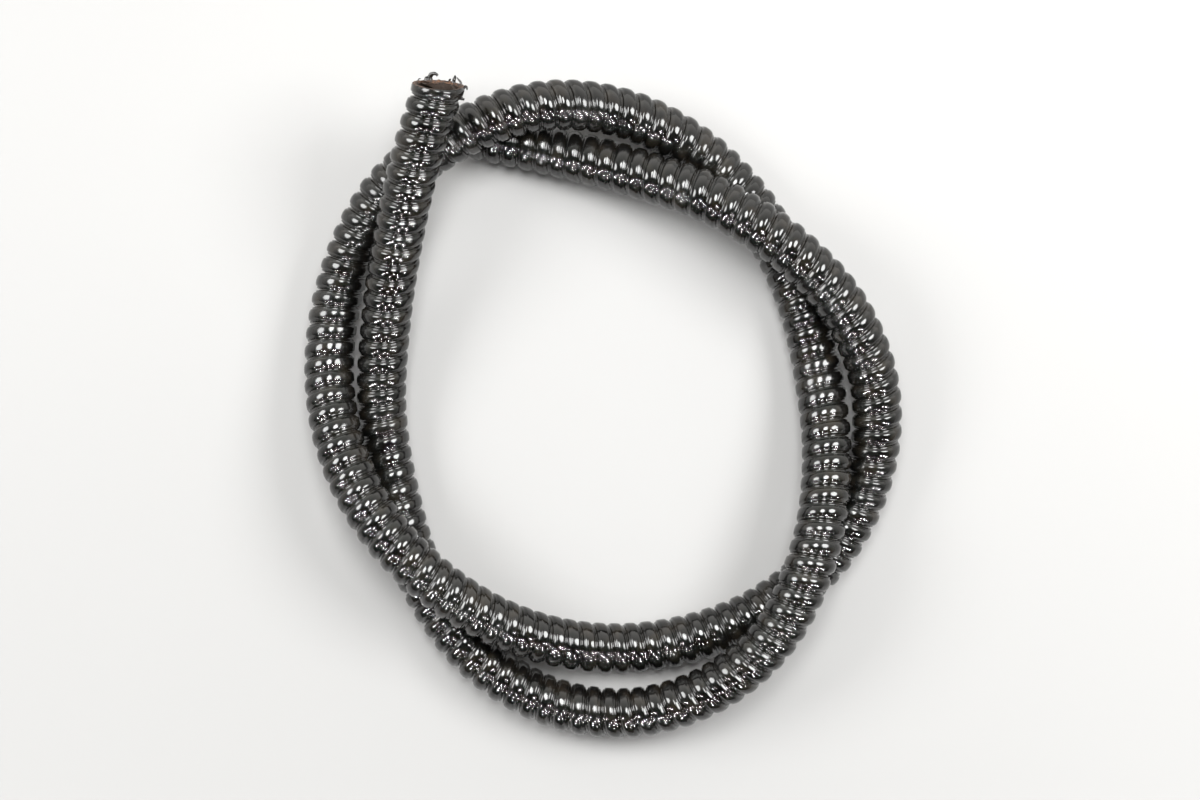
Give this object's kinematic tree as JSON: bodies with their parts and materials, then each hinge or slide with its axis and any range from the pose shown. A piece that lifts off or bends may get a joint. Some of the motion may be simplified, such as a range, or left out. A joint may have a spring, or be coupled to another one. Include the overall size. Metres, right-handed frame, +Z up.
{
  "type": "jacketed flexible metal hose",
  "caption": "Ribbed black jacketed flexible metal hose in two loose overlapping turns, plain cut at both ends",
  "frame": {"origin": "under the middle of the whole lay, on the surface that the hose rests on", "axes": "+Z up from the surface; +Y along the lay's longer side, towards the raised free end; +X along its shorter side"},
  "size_m": [0.2084, 0.2307, 0.0595],
  "materials": {
    "jacket_plastic": "glossy, near black",
    "galvanised_strip": "dull galvanised, bright at the cut edges"
  },
  "bodies": {
    "root": {"jacket": "jacket_plastic", "wound_strip": "galvanised_strip"}
  },
  "joints": []
}
